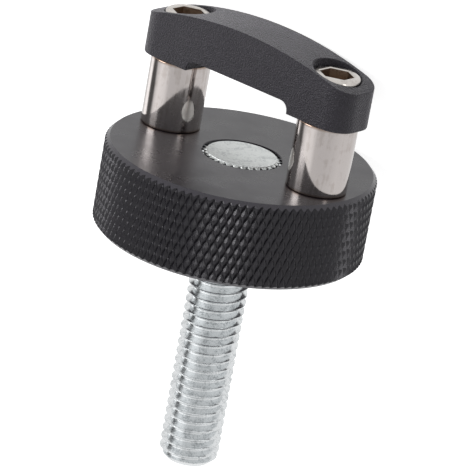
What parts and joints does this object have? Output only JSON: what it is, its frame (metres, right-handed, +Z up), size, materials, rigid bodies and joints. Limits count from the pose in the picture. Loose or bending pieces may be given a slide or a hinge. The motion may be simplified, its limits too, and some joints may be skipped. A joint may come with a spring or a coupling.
{
  "type": "knurled thumb screw with handle bar",
  "caption": "Thumb screw with a thick diamond-knurled disc, a threaded stud and an arched handle bar held over the disc by polished spacers and cap screws.",
  "frame": {"origin": "on the bench, under the middle of the lying screw; it rests on the disc's knurled rim and on the handle bar's edge at the crown", "axes": "+Z up from the bench; +X along the handle bar; +Y away from the handle, so that the screw axis lies in the YZ plane and the stud points up towards +Y, 38.1 degrees above the bench"},
  "size_m": [0.036, 0.0522, 0.0432],
  "materials": {
    "black_anodised": "satin black anodised",
    "blasted_anodised": "bead-blasted dark grey anodised",
    "zinc_plated": "bright zinc plated",
    "polished_stainless": "mirror polished stainless steel",
    "stainless": "plain stainless steel"
  },
  "bodies": {
    "root": {"knurled_disc": "black_anodised", "stud": "zinc_plated", "spacer_left": "polished_stainless", "spacer_right": "polished_stainless", "handle_bar": "blasted_anodised", "cap_screws": "stainless"}
  },
  "joints": []
}
